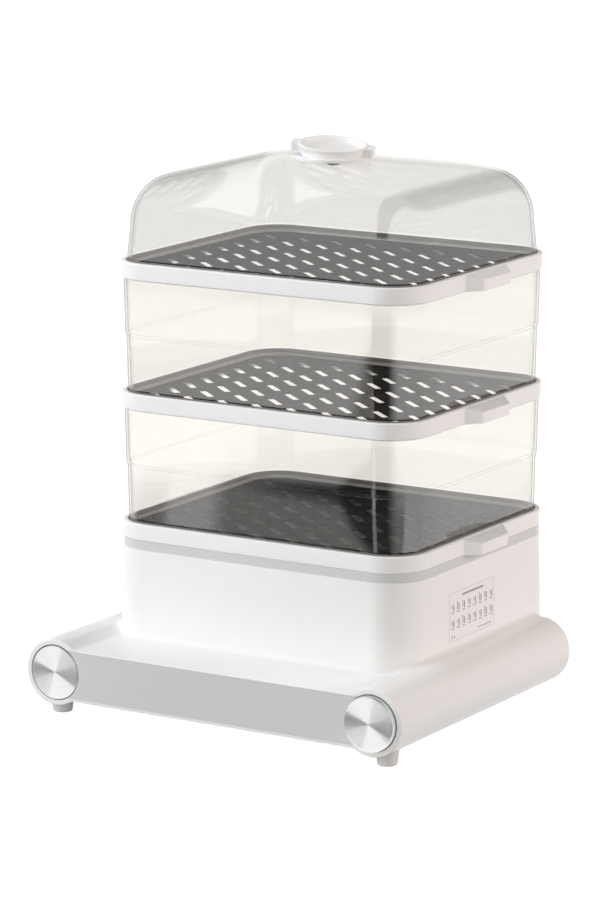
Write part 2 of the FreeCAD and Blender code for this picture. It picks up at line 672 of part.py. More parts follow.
def make_cord_gland():
    """Bush in the rear wall that the mains cord passes through."""
    outer_wall = TOWER_FOOT_DEPTH / 2 - 0.3
    flange = rod_y(GLAND_FLANGE_R, GLAND_X, GLAND_Z, outer_wall, outer_wall + 2.5)
    neck = rod_y(GLAND_NECK_R, GLAND_X, GLAND_Z, outer_wall - 6.0, outer_wall + 1)
    keeper = rod_y(GLAND_FLANGE_R - 1.1, GLAND_X, GLAND_Z, outer_wall - 7.5, outer_wall - 3.6)
    nose_front = outer_wall + 2.5
    nose = Part.makeCone(7.0, 5.4, GLAND_REAR - nose_front, V(GLAND_X, nose_front, GLAND_Z), Y_AXIS)
    gland = flange.fuse(neck).fuse(keeper).fuse(nose).removeSplitter()
    return gland.cut(rod_y(GLAND_BORE_R, GLAND_X, GLAND_Z, outer_wall - 10, GLAND_REAR + 1))


# ---- drip tray ------------------------------------------------------------------------------------
def chimney_places():
    places = [(0.0, 0.0, CHIMNEY_R)]
    for sx in (-1, 1):
        for sy in (-1, 1):
            places.append((sx * CORNER_CHIMNEY_X, sy * CORNER_CHIMNEY_Y, CORNER_CHIMNEY_R))
    return places


def make_drip_tray():
    """Shallow tray that closes the reservoir: a basin that catches juice, with chimneys for the steam."""
    lip_top = TRAY_BOTTOM + SKIRT_DEPTH
    lip_inset = SKIRT_WIDTH + SKIRT_GAP
    rim = tray_prism(DRIP_INSET, DRIP_BOTTOM, TRAY_BOTTOM)
    rim = rim.fuse(tray_prism(lip_inset, TRAY_BOTTOM - 1, lip_top))
    rim = rim.cut(tray_prism(lip_inset + LIP_WIDTH, DRIP_BOTTOM + DRIP_FLANGE, lip_top + 1))
    basin = tray_taper(BASIN_INSET + 1.0, BASIN_FLOOR, BASIN_INSET, DRIP_BOTTOM + 1)
    hollow = tray_taper(BASIN_INSET + BASIN_SKIN + 1.0, BASIN_FLOOR + BASIN_SKIN,
                        BASIN_INSET + BASIN_SKIN, DRIP_BOTTOM + DRIP_FLANGE + 1)
    tray = rim.fuse(basin).cut(hollow)
    chimneys = []
    bores = []
    for x, y, radius in chimney_places():
        chimneys.append(Part.makeCone(radius + 3.2, radius + 2.0, CHIMNEY_TOP - BASIN_FLOOR - 0.5,
                                      V(x, y, BASIN_FLOOR + 0.5), Z_AXIS))
        bores.append(rod_z(radius, x, y, BASIN_FLOOR - 1, CHIMNEY_TOP + 1))
    return tray.multiFuse(chimneys).cut(bores).removeSplitter()


# ---- trays ----------------------------------------------------------------------------------------
def tray_level(number):
    return TRAY_BOTTOM + TRAY_PITCH * number


def make_lifting_tab(side, low):
    """Finger tab on the frame's side: slanted ends, a sloping top and a hollow underneath."""
    reach = TRAY_WIDTH / 2
    inner = reach - 2.0
    outer = reach + TAB_REACH
    corners = [(inner, TAB_ENDS[0]), (reach, TAB_ENDS[0] + 1), (outer, TAB_FRONT[0]),
               (outer, TAB_FRONT[1]), (reach, TAB_ENDS[1] - 1), (inner, TAB_ENDS[1])]
    outline = Part.makePolygon([V(x, y, low) for x, y in corners + corners[:1]])
    tab = prism(outline, FRAME_HEIGHT - 0.6)
    upright = edges_where(tab, lambda e: e.BoundBox.ZLength > 1 and e.BoundBox.XMin > reach + 1)
    tab = tab.makeFillet(TAB_ROUND, upright)
    above = [(inner, low + FRAME_HEIGHT + 0.3), (outer + 5, low + TAB_OUTER_HEIGHT), (outer + 5, low + 40),
             (inner, low + 40)]
    slope = Part.makePolygon([V(x, -60, z) for x, z in above + above[:1]])
    tab = tab.cut(Part.Face(slope).extrude(V(0, 120, 0)))
    scoop = box(reach + 1.5, outer - 2.2, TAB_SCOOP_ENDS[0], TAB_SCOOP_ENDS[1], low - 1, low + TAB_SCOOP)
    scoop = scoop.makeFillet(3.0, edges_where(scoop, lambda e: e.BoundBox.ZLength > 1))
    tab = tab.cut(scoop)
    if side < 0:
        tab = tab.mirror(V(0, 0, 0), X_AXIS)
    return tab


def make_tray_frame(number):
    """White frame: an upper rim that locates the wall above, a ledge for the plate and a skirt below."""
    low = tray_level(number)
    high = low + FRAME_HEIGHT
    seat = low + SEAT_RISE
    frame = tray_prism(0, low, high)
    frame = frame.makeFillet(1.0, edges_where(frame, lambda e: lies_flat(e, high) or lies_flat(e, low)))
    frame = frame.multiFuse([make_lifting_tab(side, low) for side in (-1, 1)])
    frame = frame.cut(tray_prism(FRAME_RIM, seat, high + 1))
    frame = frame.cut(tray_prism(PLATE_INSET, seat - PLATE_THICKNESS, seat + 1))
    frame = frame.cut(tray_prism(PLATE_LEDGE_INSET, low - 1, seat + 1))
    frame = frame.cut(tray_prism(SKIRT_WIDTH, low - 1, low + SKIRT_DEPTH))
    return frame.removeSplitter()


def make_tray_plate(number):
    """Dark steaming plate with rows of slanted slots."""
    top = tray_level(number) + SEAT_RISE
    bottom = top - PLATE_THICKNESS
    plate = tray_prism(PLATE_INSET + PLATE_GAP, bottom, top)
    half_length = SLOT_LENGTH / 2
    half_width = SLOT_WIDTH / 2
    slots = []
    for row in range(SLOT_ROWS):
        for column in range(SLOT_COLUMNS):
            x = (column - (SLOT_COLUMNS - 1) / 2) * SLOT_PITCH_X
            y = (row - (SLOT_ROWS - 1) / 2) * SLOT_PITCH_Y
            slot = box(-half_length, half_length, -half_width, half_width, bottom - 1, top + 1)
            slot.rotate(V(0, 0, 0), Z_AXIS, SLOT_TURN)
            slot.translate(V(x, y, 0))
            slots.append(slot)
    return plate.cut(slots)


def make_clear_wall(number):
    """Clear wall between two trays, a little wider above its step so that walls nest when stored."""
    foot = tray_level(number) + SEAT_RISE
    step = foot + WALL_STEP_RISE
    top = tray_level(number + 1) + SKIRT_DEPTH
    top_inset = SKIRT_WIDTH + SKIRT_GAP
    t = WALL_THICKNESS
    outer = tray_taper(WALL_INSET_FOOT, foot, WALL_INSET_BELOW_STEP, step)
    outer = outer.fuse(tray_taper(WALL_INSET_ABOVE_STEP, step, top_inset, top))
    inner = tray_taper(WALL_INSET_FOOT + t, foot, WALL_INSET_BELOW_STEP + t, step + t)
    upper = tray_taper(WALL_INSET_ABOVE_STEP + t, step + t, top_inset + t, top)
    return outer.cut(inner).cut(upper)


# ---- lid ------------------------------------------------------------------------------------------
def lid_sections(shrink):
    """Outlines of the lid from its foot to its flat top, drawn in and down by a shrink."""
    foot = tray_level(TRAY_COUNT - 1) + SEAT_RISE
    lean = LID_DRAFT * (LID_SHOULDER_Z - foot)
    side_corner = LID_CORNER_FOOT - shrink
    wires = [lid_wire(LID_INSET_FOOT + shrink, foot, side_corner),
             lid_wire(LID_INSET_FOOT + lean / 2 + shrink, (foot + LID_SHOULDER_Z) / 2, side_corner)]
    for step in range(6):
        angle = LID_SHOULDER_TURN * step / 5
        share = (1 - math.cos(angle)) / (1 - math.cos(LID_SHOULDER_TURN))
        inset = LID_INSET_FOOT + lean + shrink + (LID_SHOULDER_REACH - shrink) * (1 - math.cos(angle))
        z = LID_SHOULDER_Z + (LID_SHOULDER_RISE - shrink) * math.sin(angle)
        wires.append(lid_wire(inset, z, side_corner + (LID_CORNER_TOP - side_corner) * share))
    for share in (0.2, 0.45, 0.7, 1.0):
        width = blend(TRAY_WIDTH - 2 * inset, LID_FLAT, share)
        depth = blend(TRAY_DEPTH - 2 * inset, LID_FLAT, share)
        rise = (lid_top() - shrink - z) * (1 - (1 - share) ** LID_CROWN_POWER)
        wires.append(rounded_wire(width, depth, LID_CORNER_TOP, z + rise))
    return wires


def blend(start, end, share):
    return start + (end - start) * share


def lid_wire(inset, z, corner):
    return rounded_wire(TRAY_WIDTH - 2 * inset, TRAY_DEPTH - 2 * inset, corner, z)


def lid_top():
    return LID_SHOULDER_Z + LID_SHOULDER_RISE * math.sin(LID_SHOULDER_TURN) + LID_CROWN


def smooth_loft(wires):
    """A solid through the wires that curves with height. Its low degree keeps the wall free of ripples."""
    return Part.makeLoft(wires, True, False, False, 2)


def make_lid_dome():
    """Clear dome: upright sides, a wide rounded shoulder and a slightly crowned top."""
    outer = smooth_loft(lid_sections(0.0))
    inner = smooth_loft(lid_sections(LID_THICKNESS))
    dome = outer.cut(inner)
    return dome.cut(rod_z(HANDLE_SCREW_R + 0.4, 0, 0, lid_top() - 10, lid_top() + 5))


def leaned(shape):
    """Move a shape from the plane of the cup's rim to its leaning place above the lid."""
    shape.rotate(V(0, 0, 0), Z_AXIS, -CUP_LEAN_TO)
    shape.rotate(V(0, 0, 0), Y_AXIS, CUP_TILT)
    shape.rotate(V(0, 0, 0), Z_AXIS, CUP_LEAN_TO)
    shape.translate(V(0, 0, lid_top() + CUP_RISE))
    return shape


def make_lid_handle():
    """White handle: a flange and waist that carry a dished cup, which leans and has a lug on each side."""
    base = lid_top() + WASHER
    foot = rod_z(HANDLE_FLANGE_R, 0, 0, base, base + HANDLE_FLANGE)
    foot = foot.makeFillet(0.8, edges_where(foot, lambda e: lies_flat(e, base + HANDLE_FLANGE)))
    foot = foot.fuse(rod_z(HANDLE_WAIST_R, 0, 0, base, base + HANDLE_WAIST))
    cup = Part.makeCone(CUP_R - CUP_DRAFT, CUP_R, CUP_DEPTH, V(0, 0, -CUP_DEPTH), Z_AXIS)
    lugs = box(-LUG_REACH, LUG_REACH, -LUG_WIDTH / 2, LUG_WIDTH / 2, -CUP_DEPTH + 1.0, -0.6)
    lugs = lugs.makeFillet(2.5, edges_where(lugs, lambda e: e.BoundBox.ZLength > 1))
    lugs.rotate(V(0, 0, 0), Z_AXIS, LUG_TURN)
    cup = cup.fuse(lugs)
    rim = edges_where(cup, lambda e: lies_flat(e, 0))
    cup = cup.makeFillet(0.8, rim)
    mouth = CUP_R - CUP_RIM
    dish = turned([(0, -6.8), (mouth - 12.2, -6.3), (mouth - 3.4, -4.6), (mouth, 0), (mouth, 2), (0, 2)])
    cup = leaned(cup.cut(dish))
    handle = foot.fuse(cup).removeSplitter()
    return handle.cut(rod_z(HANDLE_SCREW_R, 0, 0, base - 1, base + HANDLE_SCREW_REACH))


def make_handle_washer():
    return tube_z(12.0, HANDLE_SCREW_R + 1.0, 0, 0, lid_top(), lid_top() + WASHER)


def make_handle_screw():
    under = lid_top() - LID_THICKNESS
    head = rod_z(5.0, 0, 0, under - 2.4, under)
    head = head.makeFillet(1.0, edges_where(head, lambda e: lies_flat(e, under - 2.4)))
    shank = rod_z(HANDLE_SCREW_R, 0, 0, under - 0.5, lid_top() + WASHER + HANDLE_SCREW_REACH)
    return head.fuse(shank).removeSplitter()


# ---- assembly -------------------------------------------------------------------------------------
def main():
    os.makedirs("parts", exist_ok=True)
    save("base_housing", make_base_housing())
    save("base_cover", make_base_cover())
    save("cover_screws", make_cover_screws())
    save("front_panel", make_front_panel())
    for name, side in (("left", -1), ("right", 1)):
        save("foot_front_" + name, make_front_foot(side))
        save("foot_rear_" + name, make_rear_foot(side))
    save("timer_knob", make_timer_knob())
    save("timer_knob_cap", make_timer_cap())
    save("timer_shaft", make_timer_shaft())
    save("timer_unit", make_timer_unit())
    save("power_button", make_power_button())
    save("power_button_cap", make_button_cap())
    save("power_switch", make_power_switch())
    save("reservoir", make_reservoir())
    save("heater_gasket", make_heater_gasket())
    save("heater_pan", make_heater_pan())
    save("heater_clamp", make_heater_clamp())
    save("clamp_screws", make_clamp_screws())
    save("heating_element", make_heating_element())
    save("boil_dry_thermostat", make_thermostat())
    save("thermal_fuse", make_thermal_fuse())
    save("steam_guide", make_steam_guide())
    save("terminal_block", make_terminal_block())
    save("cord_gland", make_cord_gland())
    save("drip_tray", make_drip_tray())
    for number in range(TRAY_COUNT):
        save("tray_frame_" + str(number + 1), make_tray_frame(number))
        save("tray_plate_" + str(number + 1), make_tray_plate(number))
    for number in range(TRAY_COUNT - 1):
        save("clear_wall_" + str(number + 1), make_clear_wall(number))
    save("lid_dome", make_lid_dome())
    save("lid_handle", make_lid_handle())
    save("handle_washer", make_handle_washer())
    save("handle_screw", make_handle_screw())


main()
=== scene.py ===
"""Looks of the electric food steamer: its finishes, clear walls, lid, discs, label, stage and camera.

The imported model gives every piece's size and place. Lengths are in metres, +Z is up, -Y is the front
and +X is the timer's side."""

import json
import math

import bmesh
import bpy
import numpy as np
from bpy.props import FloatProperty, FloatVectorProperty, PointerProperty
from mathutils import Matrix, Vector


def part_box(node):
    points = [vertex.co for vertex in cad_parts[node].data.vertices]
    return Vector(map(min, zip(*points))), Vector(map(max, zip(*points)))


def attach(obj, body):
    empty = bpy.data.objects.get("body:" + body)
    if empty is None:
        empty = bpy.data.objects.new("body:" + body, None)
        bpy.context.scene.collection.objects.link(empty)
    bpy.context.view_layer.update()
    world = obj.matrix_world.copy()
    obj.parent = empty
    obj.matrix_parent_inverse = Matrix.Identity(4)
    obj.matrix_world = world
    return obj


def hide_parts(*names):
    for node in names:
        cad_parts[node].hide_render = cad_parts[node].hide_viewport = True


bl_info = {
    "name": "Food steamer looks",
    "version": (1, 0, 0),
    "blender": (4, 5, 0),
    "location": "3D View > Sidebar > Steamer",
    "description": "Gives a packed food steamer its finishes, clear walls, lid, discs, label and stage",
    "category": "Object",
}

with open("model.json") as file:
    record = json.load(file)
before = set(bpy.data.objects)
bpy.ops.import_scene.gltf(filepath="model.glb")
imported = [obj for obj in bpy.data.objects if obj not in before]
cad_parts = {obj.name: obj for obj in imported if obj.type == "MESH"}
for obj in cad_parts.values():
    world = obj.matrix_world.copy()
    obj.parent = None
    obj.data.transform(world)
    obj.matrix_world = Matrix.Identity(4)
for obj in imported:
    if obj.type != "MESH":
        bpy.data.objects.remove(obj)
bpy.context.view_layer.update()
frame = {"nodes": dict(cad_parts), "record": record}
MM = 0.001

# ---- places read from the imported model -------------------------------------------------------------
FRAME_LOW, FRAME_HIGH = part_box("tray_plate_1")
TOWER_Y = (FRAME_LOW.y + FRAME_HIGH.y) / 2
TIMER_LOW, TIMER_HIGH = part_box("timer_knob_cap")
BUTTON_LOW, BUTTON_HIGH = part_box("power_button_cap")
DISC_RADIUS = (TIMER_HIGH.z - TIMER_LOW.z) / 2
DISC_HEIGHT = (TIMER_HIGH.z + TIMER_LOW.z) / 2
TIMER_X = (TIMER_HIGH.x + TIMER_LOW.x) / 2
BUTTON_X = (BUTTON_HIGH.x + BUTTON_LOW.x) / 2


# ---- settings a user would change ------------------------------------------------------------------
def colour(name, description, default):
    return FloatVectorProperty(name=name, description=description, subtype="COLOR", size=3,
                               min=0.0, max=1.0, default=default)


def length(name, description, default):
    return FloatProperty(name=name, description=description, default=default, unit="LENGTH")


class STEAMER_PG_finish(bpy.types.PropertyGroup):
    """Colours and gloss of the mouldings and metals."""
    white: colour("White", "Glossy white of the base, the tray frames and the handle", (0.93, 0.925, 0.91))
    panel: colour("Panel", "Satin grey of the front panel", (0.70, 0.695, 0.69))
    band: colour("Band", "Light grey of the drip tray and its visible rim", (0.68, 0.68, 0.67))
    plate: colour("Plate", "Charcoal of the steaming plates", (0.022, 0.020, 0.019))
    metal: colour("Metal", "Spun aluminium of the discs", (0.90, 0.90, 0.905))
    rubber: colour("Rubber", "Grey of the feet", (0.84, 0.82, 0.79))
    clear: colour("Clear plastic", "Tint of light that passes one face of a wall", (0.955, 0.945, 0.928))
    lid: colour("Lid plastic", "Tint of light that passes one face of the lid", (0.982, 0.978, 0.968))
    ink: colour("Ink", "Print on the label", (0.34, 0.33, 0.32))


class STEAMER_PG_shape(bpy.types.PropertyGroup):
    """Sizes of the pieces that are made here."""
    wall: length("Wall", "Thickness of the clear walls", 2.0 * MM)
    lid_wall: length("Lid wall", "Thickness of the lid", 2.2 * MM)
    lid_reach: length("Lid reach", "How far the lid's rounded shoulder reaches inwards", 33.0 * MM)
    lid_rise: length("Lid rise", "How far the lid's rounded shoulder rises", 41.0 * MM)
    soft_edge: length("Soft edge", "Radius of small moulded edges", 0.5 * MM)


class STEAMER_PG_stage(bpy.types.PropertyGroup):
    """Camera and light."""
    azimuth: FloatProperty(name="Azimuth", description="Direction the camera looks from", unit="ROTATION",
                           default=math.radians(31.44))
    elevation: FloatProperty(name="Elevation", description="Height of the camera's view", unit="ROTATION",
                             default=math.radians(11.73))
    distance: length("Distance", "From the camera to the point it looks at", 3.419)
    lens: FloatProperty(name="Lens", description="Focal length", unit="CAMERA", default=168.26)


# ---- meshes ----------------------------------------------------------------------------------------
def grid_faces(rows, columns, wrap_rows=False, wrap_columns=False):
    """Quads of a grid of points: each joins a point to the next one along both directions, and a
    wrapped direction joins its last points to its first."""
    r = np.arange(rows if wrap_rows else rows - 1)
    c = np.arange(columns if wrap_columns else columns - 1)
    r0, c0 = np.meshgrid(r, c, indexing="ij")
    r1 = (r0 + 1) % rows
    c1 = (c0 + 1) % columns
    quads = np.stack([r0 * columns + c0, r0 * columns + c1, r1 * columns + c1, r1 * columns + c0], -1)
    return quads.reshape(-1, 4)


def soften(mesh, angle=35.0):
    """Smooth shading, with edges kept sharp where two faces meet at more than the angle."""
    work = bmesh.new()
    work.from_mesh(mesh)
    limit = math.radians(angle)
    for face in work.faces:
        face.smooth = True
    for edge in work.edges:
        edge.smooth = edge.calc_face_angle(0.0) < limit
    work.to_mesh(mesh)
    work.free()


def new_piece(name, points, faces, material, body, replaced=(), angle=35.0):
    """An object made of an array of points and quads, riding on a body. Its normals point outwards."""
    mesh = bpy.data.meshes.new(name)
    mesh.from_pydata(points.reshape(-1, 3).tolist(), [], [tuple(face) for face in faces.tolist()])
    work = bmesh.new()
    work.from_mesh(mesh)
    bmesh.ops.remove_doubles(work, verts=work.verts, dist=1e-7)
    bmesh.ops.recalc_face_normals(work, faces=work.faces)
    work.to_mesh(mesh)
    work.free()
    soften(mesh, angle)
    piece = bpy.data.objects.new(name, mesh)
    bpy.context.scene.collection.objects.link(piece)
    finish_piece(piece, material, body, replaced)
    return piece


def finish_piece(piece, material, body, replaced):
    piece.data.materials.clear()
    piece.data.materials.append(MATERIALS[material]())
    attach(piece, body)
    if replaced:
        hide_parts(*replaced)


def dress_node(node, material, angle=32.0):
    """A merged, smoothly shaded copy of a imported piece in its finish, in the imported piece's place."""
    source = frame["nodes"][node]
    mesh = source.data.copy()
    work = bmesh.new()
    work.from_mesh(mesh)
    bmesh.ops.remove_doubles(work, verts=work.verts, dist=1e-6)
    work.to_mesh(mesh)
    work.free()
    soften(mesh, angle)
    piece = bpy.data.objects.new(node + "_dressed", mesh)
    bpy.context.scene.collection.objects.link(piece)
    finish_piece(piece, material, body_of_node(node), (node,))
    return piece


def body_of_node(node):
    for body, members in frame["record"]["behaviour"]["bodies"].items():
        if node in members:
            return body
    raise RuntimeError("no body holds " + node)


def outline(width, depth, corner, arc=12, run=4):
    """Closed rounded rectangles about the tower's axis, one per entry of the three sizes. Each corner
    is a quarter circle, centre + corner * (cos t, sin t), and straight runs join the corners."""
    width, depth, corner = np.broadcast_arrays(*np.atleast_1d(width, depth, corner))
    corners = []
    for k, (sx, sy) in enumerate(((1, 1), (-1, 1), (-1, -1), (1, -1))):
        t = np.radians(90.0 * k + np.linspace(0.0, 90.0, arc))
        x = sx * (width / 2 - corner)[:, None] + corner[:, None] * np.cos(t)
        y = sy * (depth / 2 - corner)[:, None] + corner[:, None] * np.sin(t)
        corners.append(np.stack([x, y], -1))
    parts = []
    share = np.linspace(0.0, 1.0, run + 2)[1:-1, None]
    for k in range(4):
        start = corners[k][:, -1:, :]
        end = corners[(k + 1) % 4][:, :1, :]
        parts += [corners[k], start + (end - start) * share]
    plan = np.concatenate(parts, 1)
    plan[..., 1] += TOWER_Y
    return plan


def rounded_profile(points, radius, steps=4):
    """A closed profile with each corner P replaced by the curve (1-t)^2 A + 2t(1-t) P + t^2 B, where A
    and B lie one radius from P towards its neighbours, or at most 0.45 of the way."""
    points = np.asarray(points, float)
    t = np.linspace(0.0, 1.0, steps)[None, :, None]
    ends = []
    for neighbour in (np.roll(points, 1, 0), np.roll(points, -1, 0)):
        offset = neighbour - points
        reach = np.linalg.norm(offset, axis=1, keepdims=True)
        ends.append((points + offset / reach * np.minimum(radius, reach * 0.45))[:, None, :])
    curve = (1 - t) ** 2 * ends[0] + 2 * t * (1 - t) * points[:, None, :] + t ** 2 * ends[1]
    return curve.reshape(-1, 2)


def tray_sweep(profile):
    """A closed profile of (inset, height) carried round the tray outline. Every point moves in from the
    outline by its inset, so a corner's radius shrinks by the same amount."""
    profile = np.asarray(profile)
    low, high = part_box("tray_frame_1")
    depth = high.y - low.y
    plan = outline(TRAY_WIDTH - 2 * profile[:, 0], depth - 2 * profile[:, 0], TRAY_CORNER - profile[:, 0])
    height = np.broadcast_to(profile[:, 1, None, None], plan.shape[:2] + (1,))
    return np.concatenate([plan, height], -1)


def turned(profile, centre, axis="z", steps=96):
    """A profile of (radius, height) turned about an axis: (r cos t, r sin t, h)."""
    profile = np.asarray(profile)
    t = np.linspace(0.0, 2 * math.pi, steps, endpoint=False)
    across = profile[:, :1] * np.cos(t)
    up = profile[:, :1] * np.sin(t)
    along = np.broadcast_to(profile[:, 1:], across.shape)
    order = {"z": (across, up, along), "y": (across, along, up)}[axis]
    return np.stack(order, -1) + np.asarray(centre)


# ---- shader expressions ----------------------------------------------------------------------------
class Value:
    """A socket in a material's tree. Arithmetic on it adds Math nodes."""

    def __init__(self, tree, socket):
        self.tree = tree
        self.socket = socket

    def math(self, operation, *values):
        inputs = dict(enumerate(values))
        return add_node(self.tree, "ShaderNodeMath", {"operation": operation}, inputs)

    def __add__(self, other):
        return self.math("ADD", self, other)

    def __sub__(self, other):
        return self.math("SUBTRACT", self, other)

    def __rsub__(self, other):
        return self.math("SUBTRACT", other, self)

    def __mul__(self, other):
        return self.math("MULTIPLY", self, other)

    def __pow__(self, other):
        return self.math("POWER", self, other)

    __radd__ = __add__
    __rmul__ = __mul__


def add_node(tree, kind, settings=None, inputs=None, output=0):
    """Add one node: its settings first, then the values or links of its inputs."""
    node = tree.nodes.new(kind)
    for key, value in (settings or {}).items():
        setattr(node, key, value)
    for key, value in (inputs or {}).items():
        if isinstance(value, Value):
            tree.links.new(value.socket, node.inputs[key])
        else:
            node.inputs[key].default_value = value
    return Value(tree, node.outputs[output])


def clamped(value):
    settings = {"operation": "MULTIPLY", "use_clamp": True}
    return add_node(value.tree, "ShaderNodeMath", settings, {0: value, 1: 1.0})


def vector_math(tree, operation, inputs, output=0):
    return add_node(tree, "ShaderNodeVectorMath", {"operation": operation}, inputs, output)


def along(tree, point, axis):
    """How far a point lies along an axis."""
    return vector_math(tree, "DOT_PRODUCT", {0: point, 1: axis}, "Value")


def outward_normal(tree):
    return add_node(tree, "ShaderNodeNewGeometry", output="Normal")


def window(value, low, high, rise, fall):
    """One between two values and nought outside them, with slopes of rise and fall at its two ends."""
    return clamped((value - low) * rise) * clamped((high - value) * fall)


def mix_colours(tree, share, first, second):
    """Colour between two others. Inputs 6 and 7 and output 2 are the node's colour sockets."""
    settings = {"data_type": "RGBA"}
    return add_node(tree, "ShaderNodeMix", settings, {0: share, 6: first, 7: second}, 2)


def white_times(tree, value):
    """White of a given brightness."""
    return vector_math(tree, "SCALE", {0: (1.0, 1.0, 1.0), "Scale": value})


def place(tree):
    return add_node(tree, "ShaderNodeTexCoord", output="Object")


def noise(tree, scale, detail=2.0, vector=None):
    inputs = {"Vector": vector or place(tree), "Scale": scale, "Detail": detail}
    return add_node(tree, "ShaderNodeTexNoise", None, inputs, "Fac")


def bump(tree, height, strength, distance):
    return add_node(tree, "ShaderNodeBump", None, {"Height": height, "Strength": strength,
                                                   "Distance": distance})


def new_material(name, build):
    """The named look, built the first time it is asked for."""
    name = "look_" + name
    found = bpy.data.materials.get(name)
    if found:
        return found
    material = bpy.data.materials.new(name)
    material.use_nodes = True
    tree = material.node_tree
    tree.nodes.clear()
    surface = build(tree)
    out = tree.nodes.new("ShaderNodeOutputMaterial")
    tree.links.new(surface.socket, out.inputs["Surface"])
    return material


def rgba(value):
    return (*value, 1.0)


def principled(tree, inputs):
    return add_node(tree, "ShaderNodeBsdfPrincipled", None, inputs)


def tinted(tree, base, spread, scale):
    """A colour that varies a little over the surface, as moulded plastic does."""
    darker = rgba([c * (1 - spread) for c in base])
    return mix_colours(tree, noise(tree, scale), darker, rgba(base))


def moulded(name, base, roughness, grain=0.0, grain_scale=900.0, shine=0.5):
    """Moulded plastic or rubber: faint colour drift, uneven gloss and a fine skin. Roughness varies
    about its value as r (0.88 + 0.25 noise)."""
    def build(tree):
        drift = tinted(tree, base, DRIFT, DRIFT_SCALE)
        gloss = noise(tree, GLOSS_SCALE) * (roughness * 0.25) + roughness * 0.88
        skin = bump(tree, noise(tree, grain_scale, 3.0), 0.25 + grain, SKIN_DEPTH)
        return principled(tree, {"Base Color": drift, "Roughness": gloss, "Normal": skin,
                                 "Specular IOR Level": shine})
    return new_material(name, build)


def white_plastic():
    return moulded("white_plastic", bpy.context.scene.steamer_finish.white, 0.25)


def panel_plastic():
    return moulded("panel_plastic", bpy.context.scene.steamer_finish.panel, 0.38, grain=0.2)


def band_plastic():
    return moulded("band_plastic", bpy.context.scene.steamer_finish.band, 0.25)


def plate_plastic():
    return moulded("plate_plastic", bpy.context.scene.steamer_finish.plate, 0.55, grain=0.3, shine=0.0)


def foot_rubber():
    return moulded("foot_rubber", bpy.context.scene.steamer_finish.rubber, 0.7, grain=0.5, grain_scale=1500.0)


def black_plastic():
    return moulded("black_plastic", (0.03, 0.03, 0.03), 0.45, grain=0.3)


def cream_plastic():
    return moulded("cream_plastic", (0.72, 0.68, 0.58), 0.5, grain=0.3)


def silicone():
    return moulded("silicone", (0.78, 0.78, 0.76), 0.55, grain=0.2)


def spun_metal(name, centre_x):
    """Spun aluminium: fine rings round the disc's axis tilt the surface in and out, so that light
    spreads into wedges. The tilt is n + (random(k r) - 0.5) * spread * outward direction. Towards the
    rolled rim the metal grows duller."""
    def build(tree):
        base = bpy.context.scene.steamer_finish.metal
        across = vector_math(tree, "MULTIPLY", {0: place(tree), 1: (1.0, 0.0, 1.0)})
        arm = vector_math(tree, "SUBTRACT", {0: across, 1: (centre_x, 0.0, DISC_HEIGHT)})
        radius = vector_math(tree, "LENGTH", {0: arm}, "Value")
        outward = vector_math(tree, "NORMALIZE", {0: arm})
        rings = add_node(tree, "ShaderNodeTexWhiteNoise", {"noise_dimensions": "1D"},
                         {"W": radius * RINGS_PER_METRE}, "Value")
        push = vector_math(tree, "SCALE", {0: outward, "Scale": (rings - 0.5) * RING_SPREAD})
        leaned = vector_math(tree, "ADD", {0: outward_normal(tree), 1: push})
        wide = add_node(tree, "ShaderNodeTexNoise", {"noise_dimensions": "1D"},
                        {"W": radius * BANDS_PER_METRE, "Scale": 1.0}, "Fac")
        tone = mix_colours(tree, wide, rgba([c * 0.93 for c in base]), rgba(base))
        rim = clamped((radius - DISC_RADIUS + RIM_WIDTH) * RIM_RISE)
        return principled(tree, {"Base Color": tone, "Metallic": 1.0,
                                 "Roughness": rim * RIM_DULLNESS + DISC_ROUGHNESS,
                                 "Normal": vector_math(tree, "NORMALIZE", {0: leaned})})
    return new_material(name, build)


def timer_metal():
    return spun_metal("timer_metal", TIMER_X)


def button_metal():
    return spun_metal("button_metal", BUTTON_X)


def plain_metal(name, base, roughness, stretch):
    """Brushed or plated metal: streaks along one direction vary its gloss and tone."""
    def build(tree):
        streaks = add_node(tree, "ShaderNodeMapping", None, {"Vector": place(tree), "Scale": stretch})
        lines = noise(tree, 300.0, 3.0, streaks)
        tone = mix_colours(tree, lines, rgba([c * 0.85 for c in base]), rgba(base))
        return principled(tree, {"Base Color": tone, "Metallic": 1.0,
                                 "Roughness": lines * 0.15 + roughness})
    return new_material(name, build)


def stainless():
    return plain_metal("stainless", (0.62, 0.62, 0.61), 0.22, (1.0, 12.0, 12.0))


def plated_steel():
    return plain_metal("plated_steel", (0.68, 0.68, 0.69), 0.18, (1.0, 1.0, 1.0))


def element_tube():
    return plain_metal("element_tube", (0.22, 0.21, 0.20), 0.42, (1.0, 1.0, 1.0))


